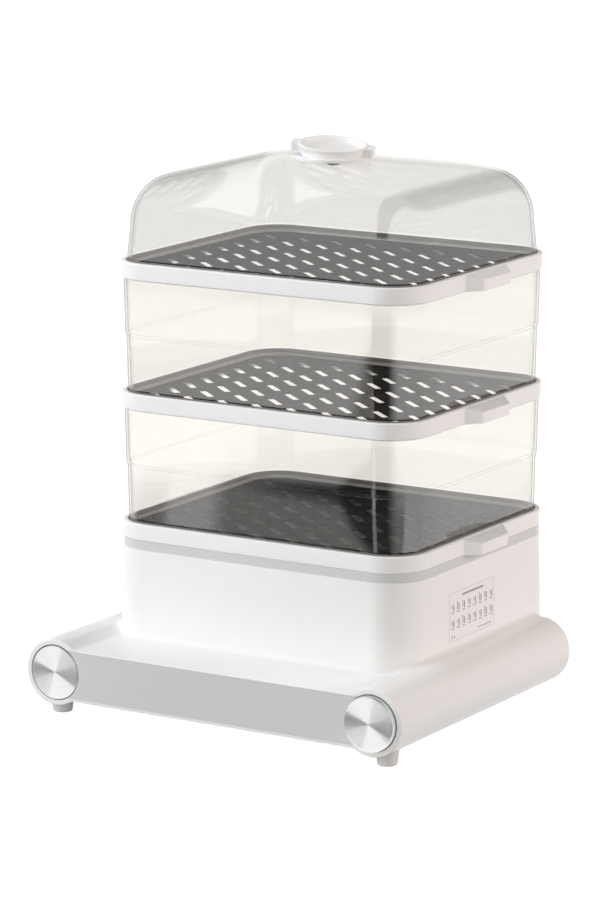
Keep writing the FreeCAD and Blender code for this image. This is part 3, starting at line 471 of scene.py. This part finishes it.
def clear_moulding(name, tint, glint):
    """Clear moulding: each face passes most light with a faint tint and mirrors a little of it. An
    upright part that is seen edge on is painted dark grey: partly the long way through its wall, partly
    painted shade for the dark surroundings seen through it. The foot, which stands in the rim of the tray
    below, mirrors nothing and carries a thin line of painted shade. A wall's top has a little painted shade
    where it goes into the tray above."""
    def build(tree):
        up = (0.0, 0.0, 1.0)
        edge_on = add_node(tree, "ShaderNodeLayerWeight", None, {"Blend": 0.5}, "Facing")
        height = along(tree, place(tree), up)
        # line: a thin line of painted shade just above each tray rim; foot: a band that mirrors nothing
        line = 0.0
        foot = 0.0
        for rim in TRAY_RIMS:
            line = window(height, rim - FOOT_BAND, rim + FOOT_SHADE_LINE, FOOT_RISE, LINE_FALL) + line
            foot = window(height, rim - FOOT_BAND, rim + FOOT_BAND, FOOT_RISE, BAND_FALL) + foot
        gap = 0.0
        for under in TRAY_UNDERSIDES:
            gap = window(height, under - GAP_LINE, under + GAP_LINE, LINE_FALL, FOOT_RISE) * GAP_DEPTH + gap
        level = along(tree, outward_normal(tree), up)
        upright = clamped((LEVEL_FROM - level.math("ABSOLUTE", level)) * LEVEL_RISE)
        turned_away = clamped((edge_on - EDGE_ONSET) * (1.0 / (1.0 - EDGE_ONSET)))
        # painted dark edges: partly the long path through the wall, partly painted shade
        dense_edge_shade = turned_away ** DENSE_POWER * upright
        dark = dense_edge_shade.math("MAXIMUM", dense_edge_shade.math("MAXIMUM", dense_edge_shade, line), gap)
        film = add_node(tree, "ShaderNodeBsdfTransparent", None, {"Color": rgba(tint)})
        # dark grey painted on the edges, the foot's shade line and the top gap
        tone = mix_colours(tree, dark, WHITE, rgba(DENSE_AND_SHADE_TONE))
        skin = principled(tree, {"Base Color": tone, "Metallic": 1.0 - dark, "Roughness": 0.05,
                                 "Specular IOR Level": 0.0})
        share = dark * CLEAR_DENSE + (1.0 - foot) * glint
        return add_node(tree, "ShaderNodeMixShader", None, {0: share, 1: film, 2: skin})
    return new_material(name, build)


def clear_plastic():
    return clear_moulding("clear_plastic", bpy.context.scene.steamer_finish.clear, CLEAR_GLINT)


def lid_plastic():
    return clear_moulding("lid_plastic", bpy.context.scene.steamer_finish.lid, LID_GLINT)


def label_paper():
    return moulded("label_paper", (0.915, 0.91, 0.90), 0.30)


def label_ink():
    return moulded("label_ink", bpy.context.scene.steamer_finish.ink, 0.5)


MATERIALS = {
    "white": white_plastic, "panel": panel_plastic, "band": band_plastic, "plate": plate_plastic,
    "rubber": foot_rubber, "black": black_plastic, "cream": cream_plastic, "silicone": silicone,
    "timer": timer_metal, "button": button_metal, "stainless": stainless, "plated": plated_steel,
    "element": element_tube, "clear": clear_plastic, "lid": lid_plastic, "paper": label_paper,
    "ink": label_ink,
}

# ---- finishes --------------------------------------------------------------------------------------
WHITE = (1.0, 1.0, 1.0, 1.0)
DRIFT = 0.02                     # how much darker moulded colour gets, and how many drifts in a metre
DRIFT_SCALE = 14.0
GLOSS_SCALE = 60.0
SKIN_DEPTH = 0.04 * MM
RINGS_PER_METRE = 9000.0         # fine and broad rings of the spun discs
BANDS_PER_METRE = 1400.0
RING_SPREAD = 1.1
RIM_WIDTH = 0.6 * MM
RIM_RISE = 5000.0
RIM_DULLNESS = 0.3
DISC_ROUGHNESS = 0.12
CLEAR_GLINT = 0.10               # share of light that a face of a clear piece mirrors
LID_GLINT = 0.13
EDGE_ONSET = 0.48                # turn, 0 face on to 1 edge on, from which clear pieces grow dense and get painted dark edges
CLEAR_DENSE = 0.85               # how far the painted dark of its edges, its foot line and its top gap hides what is behind
DENSE_POWER = 1.5
# grey painted for the dark edges, the foot's shade line and the shaded gap
DENSE_AND_SHADE_TONE = (0.26, 0.25, 0.24)
LEVEL_FROM = 0.97                # a face that points up more than this isn't upright
LEVEL_RISE = 8.0
FOOT_SHADE_LINE = 0.9 * MM             # painted shade line and plain band that mirrors nothing at the foot of each clear piece
FOOT_BAND = 2.4 * MM
FOOT_RISE = 9000.0
LINE_FALL = 3000.0
BAND_FALL = 1500.0
GAP_LINE = 1.2 * MM              # shaded gap where a wall's top goes into the tray above
GAP_DEPTH = 0.4

# ---- studio light ----------------------------------------------------------------------------------
SKY = (
    ((0.0, -1.0, 0.0), (1.39, 1.346, 1.27)),
    ((0.0, 1.0, 0.0), (0.42, 0.43, 0.40)),
)
SOFTBOXES = (
    ("left_front", (-1.9, -1.4, 1.3), 1.4, (0.238, 0.262, 0.318)),
    ("right_rear", (2.2, 1.2, 0.9), 1.0, (0.33, 0.292, 0.288)),
    ("overhead", (-0.9, -0.2, 2.2), 1.2, (0.130, 0.129, 0.129)),
)
LAMP_AIM = Vector((0.0, 0.0, 0.22))
LAMP_WATTS = 100.0
FLOOR_REACH = 6.0
FLOOR_LIT = (0.35, 0.05)         # grey and glow of the floor as it lights the steamer
FLOOR_SHOWN = (0.35, 0.93)       # and as the camera sees it
GLINT_FLOOR = 1.22               # what polished pieces mirror: a bright floor, a paler sky and dark gaps
GLINT_SKY = 0.75
GLINT_DARK = 0.05
NEAR_FLOOR = 0.55
NEAR_RISE = 10.0
FAR_FLOOR = 2.6
FAR_RISE = 0.8
FLOOR_GAP = (math.radians(-21.0), math.radians(52.0), 30.0, 2.2)
STRIP_TURN = math.radians(31.44)
STRIP_HALF_WIDTH = 0.022
STRIP_EDGE = 60.0
STRIP_START = 0.17
STRIP_RISE = 25.0
SKY_GAP = (-0.33, 0.36, 40.0, 12.0)
SKY_GAP_LOW = 0.15
SKY_GAP_RISE = 12.0
CAMERA_AIM = Vector((-0.0159, TOWER_Y - 0.0159, 0.2022))
CAMERA_SHIFT = -0.0066
CAMERA_SENSOR = 36.0
CAMERA_FAR = 50.0

# ---- sizes shared by the pieces --------------------------------------------------------------------
TRAY_WIDTH = 280.0 * MM
TRAY_CORNER = 34.0 * MM
TRAY_RIMS = [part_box("tray_frame_%d" % number)[1].z for number in (1, 2, 3)]
TRAY_UNDERSIDES = [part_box("tray_frame_%d" % number)[0].z for number in (2, 3)]
DISC_DISH = 0.35 * MM
DISC_MIDDLE = 0.1 * MM
DISC_SKIN = 1.15 * MM
WALL_INSETS = (4.8 * MM, 3.8 * MM, 2.9 * MM, 1.7 * MM)
WALL_STEP_RISE = 50.6 * MM
WALL_STEP_SLOPE = 0.25 * MM
LID_INSET = 4.5 * MM
LID_SIDE = 33.2 * MM
LID_DRAFT = 0.075
LID_TURN = 1.32
LID_CORNERS = (28.5 * MM, 14.0 * MM)
LID_FLAT = 40.0 * MM
LID_HOLE = 5.2 * MM
LID_CROWN_POWER = 3.0
TOWER_FOOT = 13.9 * MM
TOWER_TOP = 128.4 * MM
TOWER_HALF_WIDTH = 141.5          # in millimetres: half the width at the foot, and how far it leans in
TOWER_LEAN = 2.0


def floor_glint(tree):
    """How bright the floor looks in polished pieces. Far out it is bright with a dark gap in front.
    Close by it is bright only in two strips that run out from under the discs, so that their spun
    rings show light and grey wedges."""
    here = place(tree)
    x = along(tree, here, (1.0, 0.0, 0.0))
    ahead = along(tree, here, (0.0, -1.0, 0.0))
    turn = x.math("ARCTAN2", x, ahead)
    reach = vector_math(tree, "LENGTH", {0: here}, "Value")
    far = clamped((reach - NEAR_FLOOR) * NEAR_RISE)
    horizon = clamped((reach - FAR_FLOOR) * FAR_RISE)
    cos, sin = math.cos(STRIP_TURN), math.sin(STRIP_TURN)
    across = along(tree, here, (cos, -sin, 0.0))
    middle = cos * (TIMER_X + BUTTON_X) / 2 - sin * TIMER_LOW.y
    spread = cos * (TIMER_X - BUTTON_X) / 2
    off = x.math("ABSOLUTE", x.math("ABSOLUTE", across - middle) - spread)
    between = clamped((off - STRIP_HALF_WIDTH) * STRIP_EDGE) * clamped((ahead - STRIP_START) * STRIP_RISE)
    out_there = window(turn, *FLOOR_GAP) * (GLINT_DARK - GLINT_FLOOR) + GLINT_FLOOR
    out_there = horizon * (GLINT_SKY - out_there) + out_there
    close_by = between * (GLINT_DARK - GLINT_FLOOR) + GLINT_FLOOR
    return far * out_there + (1.0 - far) * close_by


def floor_paint():
    """Pale paint that glows for the camera, lights the steamer softly and has its own look in gloss."""
    def build(tree):
        def paint(grey, glow):
            tone = tinted(tree, (grey, grey, grey), 0.01, 0.5)
            return principled(tree, {"Base Color": tone, "Roughness": 0.9,
                                     "Emission Color": WHITE, "Emission Strength": glow})
        mirrored = add_node(tree, "ShaderNodeEmission", None,
                            {"Color": white_times(tree, floor_glint(tree))})
        seen, glossy = ray_kinds(tree)
        lit = add_node(tree, "ShaderNodeMixShader", None,
                       {0: seen, 1: paint(*FLOOR_LIT), 2: paint(*FLOOR_SHOWN)})
        return add_node(tree, "ShaderNodeMixShader", None, {0: glossy, 1: lit, 2: mirrored})
    return new_material("floor_paint", build)


def ray_kinds(tree):
    """Whether a ray comes from the camera, and whether it is mirrored by a glossy face."""
    path = tree.nodes.new("ShaderNodeLightPath")
    return Value(tree, path.outputs["Is Camera Ray"]), Value(tree, path.outputs["Is Glossy Ray"])


class Step(bpy.types.Operator):
    """One step of dressing the steamer."""
    bl_options = {"REGISTER", "UNDO"}


class STEAMER_OT_base(Step):
    """Dress the base: housing, cover, panel, feet, gland and what is inside them"""
    bl_idname = "steamer.base"
    bl_label = "Base"

    finishes = {
        "base_housing": "white", "base_cover": "white", "cover_screws": "plated", "front_panel": "panel",
        "foot_front_left": "rubber", "foot_front_right": "rubber", "foot_rear_left": "rubber",
        "foot_rear_right": "rubber", "timer_unit": "cream", "power_switch": "black",
        "reservoir": "band", "heater_gasket": "silicone", "heater_pan": "stainless",
        "heater_clamp": "plated", "clamp_screws": "plated", "heating_element": "element",
        "boil_dry_thermostat": "plated", "thermal_fuse": "cream", "steam_guide": "band",
        "terminal_block": "cream", "cord_gland": "black", "drip_tray": "band",
        "timer_knob": "white", "timer_shaft": "stainless", "power_button": "white",
    }

    def execute(self, context):
        for node, material in self.finishes.items():
            dress_node(node, material)
        return {"FINISHED"}


class STEAMER_OT_discs(Step):
    """Make the two spun aluminium discs in the roll ends"""
    bl_idname = "steamer.discs"
    bl_label = "Discs"

    def execute(self, context):
        self.make_disc("timer_disc", "timer_knob_cap", "timer", TIMER_X, TIMER_LOW.y, TIMER_HIGH.y)
        self.make_disc("power_disc", "power_button_cap", "button", BUTTON_X, BUTTON_LOW.y, BUTTON_HIGH.y)
        return {"FINISHED"}

    @staticmethod
    def make_disc(name, node, material, x, front, back):
        """A turned cup: a face that dips by a hair towards its middle, a rolled rim and a side skirt."""
        rings = np.linspace(0.0, 1.0, 24)[1:]
        edge = DISC_RADIUS
        face = [(DISC_MIDDLE, front + DISC_DISH)]
        face += [(r * (edge - 1.0 * MM), front + DISC_DISH * (1 - r ** 2)) for r in rings]
        rim = [(edge - 0.45 * MM, front + 0.12 * MM), (edge - 0.12 * MM, front + 0.45 * MM),
               (edge, front + 0.9 * MM), (edge, back)]
        inner = [(edge - 1.2 * MM, back), (edge - 1.2 * MM, front + DISC_SKIN),
                 (DISC_MIDDLE, front + DISC_SKIN)]
        profile = face + rim + inner
        points = turned(profile, (x, 0.0, DISC_HEIGHT), "y")
        faces = grid_faces(len(profile), points.shape[1], True, True)
        new_piece(name, points, faces, material, body_of_node(node), (node,), 40.0)


class STEAMER_OT_trays(Step):
    """Dress the tray frames and the steaming plates"""
    bl_idname = "steamer.trays"
    bl_label = "Trays"

    def execute(self, context):
        for number in (1, 2, 3):
            dress_node("tray_frame_%d" % number, "white")
            dress_node("tray_plate_%d" % number, "plate")
        return {"FINISHED"}


class STEAMER_OT_walls(Step):
    """Make the clear walls between the trays"""
    bl_idname = "steamer.walls"
    bl_label = "Clear walls"

    def execute(self, context):
        shape = context.scene.steamer_shape
        for number in (1, 2):
            node = "clear_wall_%d" % number
            low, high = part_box(node)
            step = low.z + WALL_STEP_RISE
            foot, below, above, top = WALL_INSETS
            t = shape.wall
            profile = [(foot, low.z), (below, step), (above, step + WALL_STEP_SLOPE), (top, high.z),
                       (top + t, high.z), (above + t, step + t), (below + t, step + t - WALL_STEP_SLOPE),
                       (foot + t, low.z)]
            profile = rounded_profile(profile, shape.soft_edge)
            points = tray_sweep(profile)
            faces = grid_faces(points.shape[0], points.shape[1], True, True)
            new_piece("wall_%d" % number, points, faces, "clear", "wall_%d" % number, (node,))
        return {"FINISHED"}


class STEAMER_OT_lid(Step):
    """Make the clear dome, its handle and their fixings"""
    bl_idname = "steamer.lid"
    bl_label = "Lid"

    def execute(self, context):
        shape = context.scene.steamer_shape
        outer = self.skin(shape, 0.0)
        inner = self.skin(shape, shape.lid_wall)[::-1]
        points = np.concatenate([outer, inner])
        faces = grid_faces(points.shape[0], points.shape[1], True, True)
        new_piece("lid_dome_clear", points, faces, "lid", "lid", ("lid_dome",), 50.0)
        dress_node("lid_handle", "white", 40.0)
        dress_node("handle_washer", "silicone")
        dress_node("handle_screw", "stainless")
        return {"FINISHED"}

    @staticmethod
    def skin(shape, shrink):
        """The lid's surface, drawn in by a shrink: a wall that leans in, a shoulder whose inset grows as
        reach (1 - cos a) while its height grows as rise sin a, and a crown that falls from its flat
        middle as d^3, where d is the share of the way out to the shoulder."""
        low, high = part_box("lid_dome")
        tray_low, tray_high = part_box("tray_frame_3")
        depth = tray_high.y - tray_low.y
        climb = np.linspace(0.0, LID_SIDE, 10)[:-1]
        a = np.linspace(0.0, LID_TURN, 26)
        bend = (1 - np.cos(a)) / (1 - math.cos(LID_TURN))
        foot = LID_INSET + shrink
        over = foot + LID_DRAFT * LID_SIDE + (shape.lid_reach - shrink) * (1 - np.cos(a))
        inset = np.concatenate([foot + LID_DRAFT * climb, over])
        height = low.z + np.concatenate([climb, LID_SIDE + (shape.lid_rise - shrink) * np.sin(a)])
        side_corner = LID_CORNERS[0] - shrink
        corner = np.concatenate([climb * 0 + side_corner,
                                 side_corner + (LID_CORNERS[1] - side_corner) * bend])
        width = TRAY_WIDTH - 2 * inset
        deep = depth - 2 * inset
        q = np.linspace(1.0, 0.0, 26)[1:]
        crown_width = LID_HOLE + (width[-1] - LID_HOLE) * q
        crown_deep = LID_HOLE + (deep[-1] - LID_HOLE) * q
        crown_corner = np.minimum(LID_CORNERS[1], crown_deep / 2)
        out = np.maximum(0.0, (crown_width - LID_FLAT) / (width[-1] - LID_FLAT))
        top = high.z - shrink
        crown_height = top - (top - height[-1]) * out ** LID_CROWN_POWER
        plan = outline(np.concatenate([width, crown_width]), np.concatenate([deep, crown_deep]),
                       np.concatenate([corner, crown_corner]), 16, 10)
        z = np.concatenate([height, crown_height])[:, None, None]
        return np.concatenate([plan, np.broadcast_to(z, plan.shape[:2] + (1,))], -1)


class STEAMER_OT_label(Step):
    """Lay the label with its plain bars on the tower's right wall"""
    bl_idname = "steamer.label"
    bl_label = "Label"

    front = -54.0 * MM
    rear = 19.5 * MM
    low = 69.0 * MM
    high = 109.5 * MM
    paper = 0.06 * MM
    ink = 0.11 * MM
    bite = 0.3 * MM
    margin = 0.6 * MM
    line = 0.18 * MM
    pitch = 8.9 * MM

    def wall_x(self, z):
        """The tower's half width at a height: it narrows evenly from its foot to its top."""
        share = (z - TOWER_FOOT) / (TOWER_TOP - TOWER_FOOT)
        return (TOWER_HALF_WIDTH - TOWER_LEAN * share) * MM

    def slab(self, name, spots, sizes, lift, material):
        """Thin blocks on the wall, one per spot: each corner is spot +- size / 2, standing off by lift."""
        spots = np.asarray(spots, float)
        sizes = np.asarray(sizes, float)
        signs = np.array([(-1, -1), (1, -1), (1, 1), (-1, 1)])
        flat = spots[:, None, :] + signs[None] * sizes[:, None, :] / 2
        rows = []
        for off in (-self.bite, lift):
            x = self.wall_x(flat[..., 1]) + off
            rows.append(np.stack([x, flat[..., 0] + TOWER_Y, flat[..., 1]], -1))
        points = np.stack(rows, 1)
        block = np.array([(0, 3, 2, 1), (4, 5, 6, 7), (0, 1, 5, 4), (1, 2, 6, 5), (2, 3, 7, 6),
                          (3, 0, 4, 7)])
        faces = (block[None] + 8 * np.arange(len(spots))[:, None, None]).reshape(-1, 4)
        new_piece(name, points, faces, material, "base")

    def execute(self, context):
        centre_y = (self.front + self.rear) / 2
        centre_z = (self.low + self.high) / 2
        wide = self.rear - self.front
        tall = self.high - self.low
        self.slab("label_sheet", [(centre_y, centre_z)], [(wide, tall)], self.paper, "paper")
        marks = []
        for z in (self.low + self.margin, self.high - self.margin):
            marks.append(((centre_y, z), (wide - 2 * self.margin, self.line)))
        for y in (self.front + self.margin, self.rear - self.margin):
            marks.append(((y, centre_z), (self.line, tall - 2 * self.margin)))
        marks.append(((centre_y + 2 * MM, self.high - 4.6 * MM), (34.0 * MM, 1.6 * MM)))
        for row, z in enumerate((self.high - 13.0 * MM, self.high - 26.0 * MM)):
            for column in range(8):
                y = self.front + 6.0 * MM + column * self.pitch
                bar = (2.2 + 1.5 * ((column * 3 + row) % 4)) * MM
                marks += [((y - 1.4 * MM, z + 1.0 * MM), (1.0 * MM, bar)),
                          ((y + 1.2 * MM, z), (1.5 * MM, 5.4 * MM)),
                          ((y, z - 4.0 * MM), (4.2 * MM, 0.8 * MM))]
        foot_z = self.low + 3.8 * MM
        marks.append(((self.rear - 16.0 * MM, foot_z), (22.0 * MM, 0.7 * MM)))
        for y in (5.0, 8.5):
            marks.append(((self.front + y * MM, foot_z), (1.6 * MM, 1.6 * MM)))
        spots, sizes = zip(*marks)
        self.slab("label_marks", spots, sizes, self.ink, "ink")
        return {"FINISHED"}


class STEAMER_OT_stage(Step):
    """Set the floor, the light and the camera"""
    bl_idname = "steamer.stage"
    bl_label = "Stage"

    def execute(self, context):
        stage = context.scene.steamer_stage
        context.scene.view_settings.view_transform = "Standard"
        self.make_floor()
        self.make_world(context.scene)
        for name, spot, size, tint in SOFTBOXES:
            self.make_light(name, spot, size, tint)
        self.make_camera(context.scene, stage)
        return {"FINISHED"}

    @staticmethod
    def make_floor():
        edge = FLOOR_REACH
        corners = [(-edge, -edge, 0), (edge, -edge, 0), (edge, edge, 0), (-edge, edge, 0)]
        mesh = bpy.data.meshes.new("floor")
        mesh.from_pydata(corners, [], [(0, 1, 2, 3)])
        floor = bpy.data.objects.new("floor", mesh)
        bpy.context.scene.collection.objects.link(floor)
        mesh.materials.append(floor_paint())

    @staticmethod
    def make_world(scene):
        """White to the camera. What lights the pieces is the sum, over the main directions, of a tint
        times how far the ray points that way: sum of tint_i * max(0, direction . axis_i). Polished
        pieces mirror a pale sky with a dark gap in it."""
        world = bpy.data.worlds.new("studio")
        world.use_nodes = True
        scene.world = world
        tree = world.node_tree
        tree.nodes.clear()
        ray = add_node(tree, "ShaderNodeTexCoord", output="Generated")
        total = (0.0, 0.0, 0.0)
        for axis, tint in SKY:
            facing = along(tree, ray, axis)
            part = vector_math(tree, "SCALE", {0: tint, "Scale": facing.math("MAXIMUM", facing, 0.0)})
            total = vector_math(tree, "ADD", {0: part, 1: total})
        side = along(tree, ray, (1.0, 0.0, 0.0))
        up = along(tree, ray, (0.0, 0.0, 1.0))
        dark = window(side, *SKY_GAP) * clamped((up - SKY_GAP_LOW) * SKY_GAP_RISE)
        seen, glossy = ray_kinds(tree)
        mirrored = white_times(tree, dark * (GLINT_DARK - GLINT_SKY) + GLINT_SKY)
        shown = mix_colours(tree, seen, mix_colours(tree, glossy, total, mirrored), WHITE)
        light = add_node(tree, "ShaderNodeBackground", None, {"Color": shown})
        out = tree.nodes.new("ShaderNodeOutputWorld")
        tree.links.new(light.socket, out.inputs["Surface"])

    @staticmethod
    def make_light(name, spot, size, tint):
        """A square softbox facing the steamer. Its power goes with its brightest channel."""
        data = bpy.data.lights.new(name, "AREA")
        data.shape = "SQUARE"
        data.size = size
        data.energy = LAMP_WATTS * max(tint)
        data.color = [c / max(tint) for c in tint]
        lamp = bpy.data.objects.new(name, data)
        bpy.context.scene.collection.objects.link(lamp)
        lamp.visible_glossy = False
        lamp.location = spot
        lamp.rotation_euler = (LAMP_AIM - Vector(spot)).to_track_quat("-Z", "Y").to_euler()

    @staticmethod
    def make_camera(scene, stage):
        data = bpy.data.cameras.new("camera")
        camera = bpy.data.objects.new("camera", data)
        scene.collection.objects.link(camera)
        scene.camera = camera
        a = stage.azimuth
        e = stage.elevation
        back = Vector((math.sin(a) * math.cos(e), -math.cos(a) * math.cos(e), math.sin(e)))
        camera.location = CAMERA_AIM + back * stage.distance
        camera.rotation_euler = (-back).to_track_quat("-Z", "Y").to_euler()
        data.lens = stage.lens
        data.sensor_width = CAMERA_SENSOR
        data.shift_x = CAMERA_SHIFT
        data.clip_end = CAMERA_FAR


STEPS = (STEAMER_OT_base, STEAMER_OT_discs, STEAMER_OT_trays, STEAMER_OT_walls, STEAMER_OT_lid,
         STEAMER_OT_label, STEAMER_OT_stage)
GROUPS = {"steamer_finish": STEAMER_PG_finish, "steamer_shape": STEAMER_PG_shape,
          "steamer_stage": STEAMER_PG_stage}


class STEAMER_PT_panel(bpy.types.Panel):
    """The steamer's steps and settings in the sidebar"""
    bl_label = "Food steamer"
    bl_idname = "STEAMER_PT_panel"
    bl_space_type = "VIEW_3D"
    bl_region_type = "UI"
    bl_category = "Steamer"

    def draw(self, context):
        for step in STEPS:
            self.layout.operator(step.bl_idname)
        for group, kind in GROUPS.items():
            box = self.layout.box()
            for prop in kind.__annotations__:
                box.prop(getattr(context.scene, group), prop)


def register():
    for kind in (*GROUPS.values(), *STEPS, STEAMER_PT_panel):
        bpy.utils.register_class(kind)
    for name, kind in GROUPS.items():
        setattr(bpy.types.Scene, name, PointerProperty(type=kind))


def unregister():
    for name in GROUPS:
        delattr(bpy.types.Scene, name)
    for kind in reversed((*GROUPS.values(), *STEPS, STEAMER_PT_panel)):
        bpy.utils.unregister_class(kind)


def main():
    register()
    for step in STEPS:
        area, name = step.bl_idname.split(".")
        getattr(getattr(bpy.ops, area), name)()


if __name__ == "__main__":
    main()
